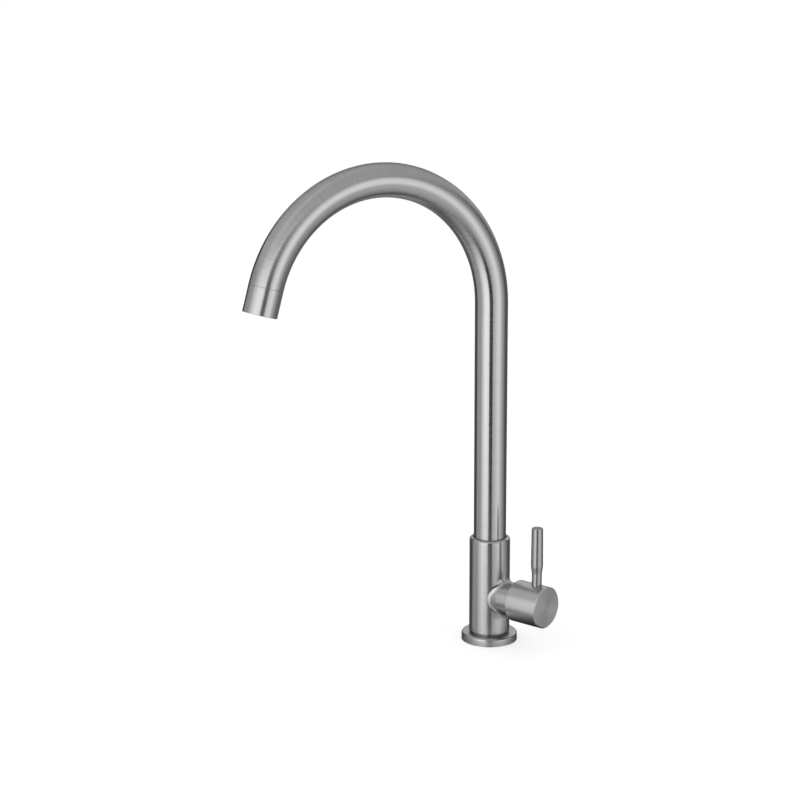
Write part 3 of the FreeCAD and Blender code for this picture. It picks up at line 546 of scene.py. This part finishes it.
def white_floor():
    """A floor that takes the tap's shadow; it is clear from below, and the steel doesn't mirror it."""
    half = FLOOR_SIZE / 2
    corners = [(-half, -half, 0), (half, -half, 0), (half, half, 0), (-half, half, 0)]
    floor = add_mesh("floor", corners, [(0, 1, 2, 3)])
    material, tree = empty_material("white_floor")
    paint = tree.nodes.new("ShaderNodeBsdfDiffuse")
    paint.inputs["Color"].default_value = rgba(FLOOR_COLOUR)
    glow = tree.nodes.new("ShaderNodeEmission")
    strength = number_math(tree, "MULTIPLY", seen_directly(tree), FLOOR_GLOW)
    tree.links.new(strength, glow.inputs["Strength"])
    both = tree.nodes.new("ShaderNodeAddShader")
    tree.links.new(paint.outputs["BSDF"], both.inputs[0])
    tree.links.new(glow.outputs["Emission"], both.inputs[1])
    clear = tree.nodes.new("ShaderNodeBsdfTransparent")
    under = tree.nodes.new("ShaderNodeMixShader")
    tree.links.new(tree.nodes.new("ShaderNodeNewGeometry").outputs["Backfacing"], under.inputs["Fac"])
    tree.links.new(both.outputs["Shader"], under.inputs[1])
    tree.links.new(clear.outputs["BSDF"], under.inputs[2])
    show(tree, under.outputs["Shader"])
    floor.data.materials.append(material)
    floor.visible_glossy = False


def soft_lamp(name, angle):
    lamp = bpy.data.lights.new(name, "AREA")
    lamp.energy = LAMP_POWER
    lamp.size = LAMP_SIZE
    holder = bpy.data.objects.new(name, lamp)
    bpy.context.scene.collection.objects.link(holder)
    holder.location = bearing(angle) * LAMP_DISTANCE + UP * LAMP_HEIGHT
    holder.rotation_euler = (-holder.location).to_track_quat("-Z", "Y").to_euler()
    holder.visible_camera = False
    holder.visible_glossy = False


def add_camera():
    data = bpy.data.cameras.new("camera")
    data.lens = CAMERA_LENS_MM
    data.sensor_width = CAMERA_SENSOR_MM
    camera = bpy.data.objects.new("camera", data)
    bpy.context.scene.collection.objects.link(camera)
    bpy.context.scene.camera = camera
    spot = bearing(0) * CAMERA_DISTANCE + UP * CAMERA_HEIGHT
    level = -bearing(CAMERA_AIM)
    pitch = math.radians(CAMERA_PITCH)
    ahead = level * math.cos(pitch) - UP * math.sin(pitch)
    right = level.cross(UP)
    top = right.cross(ahead)
    roll = math.radians(CAMERA_ROLL)
    across = right * math.cos(roll) + top * math.sin(roll)
    upward = top * math.cos(roll) - right * math.sin(roll)
    turn = Matrix((across, upward, -ahead)).transposed().to_4x4()
    camera.matrix_world = Matrix.Translation(spot) @ turn


# Studio cards, which show only in reflections. Each is an outline that is swept round the column.
# An outline's points are distance, height and share of the brightness; most reach far below the deck.
# A stop on the way round is an angle from the camera towards the picture's right, and a brightness.


def wall(distance, *rows):
    """Upright part of an outline: the height and share of each row."""
    return [(distance, height, share) for height, share in rows]


def plate(height, *rows):
    """Level part of an outline: the distance and share of each row."""
    return [(distance, height, share) for distance, share in rows]


CARD_STEP = 5.0  # degrees between a card's upright edges
CARD_MIDDLE = 0.01  # how near to the column's axis a card that goes under the tap begins
NEAR_WALL = 0.60
NEAR_BOTTOM = -1.0
FAR_WALL = 2.20
FAR_BOTTOM = -2.2
FAR_TOP = 1.25
ARCH_BOTTOM = -0.98  # just above the bottom of the near cards
MAT_HEIGHT = 0.0005
MAT_GAP = 0.0003  # from the flange's edge to the mat's inner edge
MAT_FADE = 0.005  # from the flange's edge to where the mat has its full brightness
MAT_WIDTH = 0.015  # from the flange's edge to the mat's outer edge
HANDLE_SHADE_DROP = 0.003  # how far below the handle its shade lies
HANDLE_SHADE_INSET = 0.0006  # from the handle's inner end to the shade's
HANDLE_SHADE_OVERHANG = 0.0041  # how far the shade reaches past the handle's outer end

NEAR_OUTLINE = plate(NEAR_BOTTOM, (CARD_MIDDLE, 0.12)) + wall(
    NEAR_WALL, (NEAR_BOTTOM, 0.25), (-0.70, 0.34), (-0.45, 0.45), (-0.30, 0.68), (-0.19, 0.98),
    (0.0, 1.02), (0.10, 1.10), (0.30, 1.12), (0.50, 0.85))
FAR_OUTLINE = plate(FAR_BOTTOM, (CARD_MIDDLE, 0.15), (0.50, 0.28), (1.20, 0.45)) + wall(
    FAR_WALL, (-2.0, 0.52), (-1.20, 0.56), (-0.76, 0.59), (-0.53, 0.84), (-0.29, 1.00),
    (0.0, 1.04), (0.30, 1.06), (0.70, 0.92), (1.00, 0.66), (FAR_TOP, 0.50))
FLAG_OUTLINE = plate(NEAR_BOTTOM, (CARD_MIDDLE, 0.12)) + wall(
    NEAR_WALL, (NEAR_BOTTOM, 0.30), (-0.40, 0.30), (-0.20, 0.18), (-0.11, 0.09), (-0.07, 0.0),
    (0.16, 0.0), (0.24, 0.08), (0.32, 0.20), (0.50, 0.25))
COLUMN_FLAG_OUTLINE = wall(0.585, (-0.152, 1.0), (-0.093, 1.0))
LOW_FLAG_OUTLINE = wall(0.55, (-0.50, 0.35), (-0.28, 0.45), (-0.215, 0.95), (-0.14, 1.0))
ROOT_SHADE_OUTLINE = wall(0.57, (-0.60, 0.5), (-0.30, 0.9), (-0.24, 1.0), (-0.205, 2.0))
ARCH_FILL_OUTLINE = plate(ARCH_BOTTOM, (0.30, 0.35), (0.58, 0.52)) + wall(
    0.59, (-0.67, 0.85), (-0.41, 1.0), (-0.22, 1.5))
ARCH_FLOOR_OUTLINE = plate(ARCH_BOTTOM, (0.30, 0.8), (0.58, 1.0))
LOW_CARD_OUTLINE = plate(-2.15, (1.00, 0.7)) + wall(2.10, (-2.0, 0.9), (-1.20, 1.0), (-0.60, 1.0))
BACK_OUTLINE = plate(FAR_BOTTOM, (CARD_MIDDLE, 0.30)) + wall(
    FAR_WALL, (-2.0, 0.60), (-0.60, 1.0), (0.0, 1.10), (0.50, 1.0), (FAR_TOP, 1.0))
HIGH_BACK_OUTLINE = wall(2.10, (0.45, 0.8), (1.30, 1.0))
MAT_OUTLINE = plate(
    MAT_HEIGHT, (flange_radius + MAT_GAP, 0.80), (flange_radius + MAT_FADE, 1.0),
    (flange_radius + MAT_WIDTH, 1.0))
HANDLE_SHADE_OUTLINE = plate(
    handle_low.z - HANDLE_SHADE_DROP,
    (handle_low.x + HANDLE_SHADE_INSET, 1.0), (handle_high.x + HANDLE_SHADE_OVERHANG, 1.0))
OVERHEAD_OUTLINE = [(FAR_WALL, FAR_TOP, 1.0), (1.60, 2.00, 1.0), (0.0, 2.40, 1.0)]

CARDS = {
    # Light for the left side of the tube and the column
    "left_softbox": (NEAR_OUTLINE, [
        (-165, 0.90), (-150, 0.50), (-140, 0.16), (-124, 0.08), (-116, 0.16), (-108, 0.32), (-100, 0.43),
        (-74, 0.45), (-66, 0.68), (-56, 0.95), (-40, 1.34), (-28, 1.32), (-12, 1.18)]),
    # Dark strips in line with the camera, for the dark line down the tube, the column and its foot
    "camera_flag": (FLAG_OUTLINE, [(-12, 1.0), (11.5, 1.0)]),
    "column_flag": (COLUMN_FLAG_OUTLINE, [
        (-13, 1.18), (-2, 1.05), (2, 0.40), (5, 0.08), (9, 0.08), (14, 0.26), (18, 0.45)]),
    "low_flag": (LOW_FLAG_OUTLINE, [
        (-38, 0.95), (-27, 0.68), (-21, 0.48), (-15, 0.30), (-9, 0.17), (-4, 0.06), (1, 0.14), (7, 0.30),
        (13, 0.48)]),
    # Tone for the root of the stub and for the underside of the arch
    "root_shade": (ROOT_SHADE_OUTLINE, [(-64, 0.42), (-50, 0.40), (-34, 0.45)]),
    "arch_fill": (ARCH_FILL_OUTLINE, [
        (-132, 0.10), (-122, 0.20), (-114, 0.34), (-107, 0.40), (-100, 0.35), (-94, 0.24)]),
    "arch_floor": (ARCH_FLOOR_OUTLINE, [(-94, 0.34), (-40, 0.34)]),
    # Light for the right side, with a card low down in front of it
    "right_softbox": (FAR_OUTLINE, [
        (10, 0.50), (14, 0.66), (22, 0.80), (30, 0.88), (38, 1.04), (46, 1.17), (55, 1.20), (64, 1.16),
        (72, 0.86), (81, 0.64), (90, 0.50), (101, 0.33), (113, 0.16), (126, 0.12), (140, 0.20),
        (150, 0.50), (165, 0.90)]),
    "low_card": (LOW_CARD_OUTLINE, [
        (66, 0.68), (80, 0.58), (95, 0.48), (112, 0.42), (125, 0.25), (140, 0.20)]),
    # Light from behind the tap
    "back_card": (BACK_OUTLINE, [(165, 1.0), (195, 1.0)]),
    "high_back_card": (HIGH_BACK_OUTLINE, [(125, 0.30), (150, 1.25), (210, 1.25), (235, 0.30)]),
    # Tone for the flange's rim, the underside of the handle and the tops of the pieces
    "mat": (MAT_OUTLINE, [
        (-180, 0.10), (-110, 0.18), (-60, 0.29), (-50, 0.32), (-40, 0.45), (-28, 0.53), (-17, 0.66),
        (-10, 0.66), (-4, 0.50), (6, 0.39), (15, 0.49), (30, 0.52), (45, 0.41), (56, 0.32), (70, 0.24),
        (110, 0.15), (180, 0.10)]),
    "handle_shade": (HANDLE_SHADE_OUTLINE, [
        (8, 0.32), (18, 0.22), (26, 0.14), (34, 0.08), (45, 0.04), (70, 0.04)]),
    "ceiling": (OVERHEAD_OUTLINE, [
        (-180, 0.58), (-140, 0.50), (-100, 0.52), (-70, 0.54), (-44, 0.68), (-26, 0.56), (0, 0.50),
        (100, 0.48), (140, 0.52), (180, 0.58)]),
}


def card_material():
    """Light as bright as the card's own brightness at each place."""
    material, tree = empty_material("studio_card")
    brightness = tree.nodes.new("ShaderNodeAttribute")
    brightness.attribute_name = "brightness"
    glow = tree.nodes.new("ShaderNodeEmission")
    tree.links.new(brightness.outputs["Fac"], glow.inputs["Strength"])
    show(tree, glow.outputs["Emission"])
    return material


def fill_stops(stops):
    """Add stops in between, so that a card curves round the tap."""
    filled = []
    for (angle, bright), (next_angle, next_bright) in zip(stops, stops[1:]):
        steps = math.ceil((next_angle - angle) / CARD_STEP)
        for step in range(steps):
            share = step / steps
            filled.append((angle + (next_angle - angle) * share, bright + (next_bright - bright) * share))
    return [*filled, stops[-1]]


def studio_card(name, outline, stops, material):
    vertices = []
    brightness = []
    for angle, bright in stops:
        for distance, height, share in outline:
            vertices.append(bearing(angle) * distance + UP * height)
            brightness.append(bright * share)
    card = add_mesh(name, vertices, grid_faces(len(stops), len(outline), closed=False))
    card.data.attributes.new("brightness", "FLOAT", "POINT").data.foreach_set("value", brightness)
    card.data.materials.append(material)
    card.visible_camera = False
    card.visible_diffuse = False
    card.visible_shadow = False


dress_nodes()
threaded_shank()
white_world()
white_floor()
card_light = card_material()
for card_name, (card_outline, card_stops) in CARDS.items():
    studio_card(card_name, card_outline, fill_stops(card_stops), card_light)
for lamp_name, lamp_angle in LAMP_ANGLES.items():
    soft_lamp(lamp_name, lamp_angle)
add_camera()
bpy.context.scene.view_settings.view_transform = "Standard"
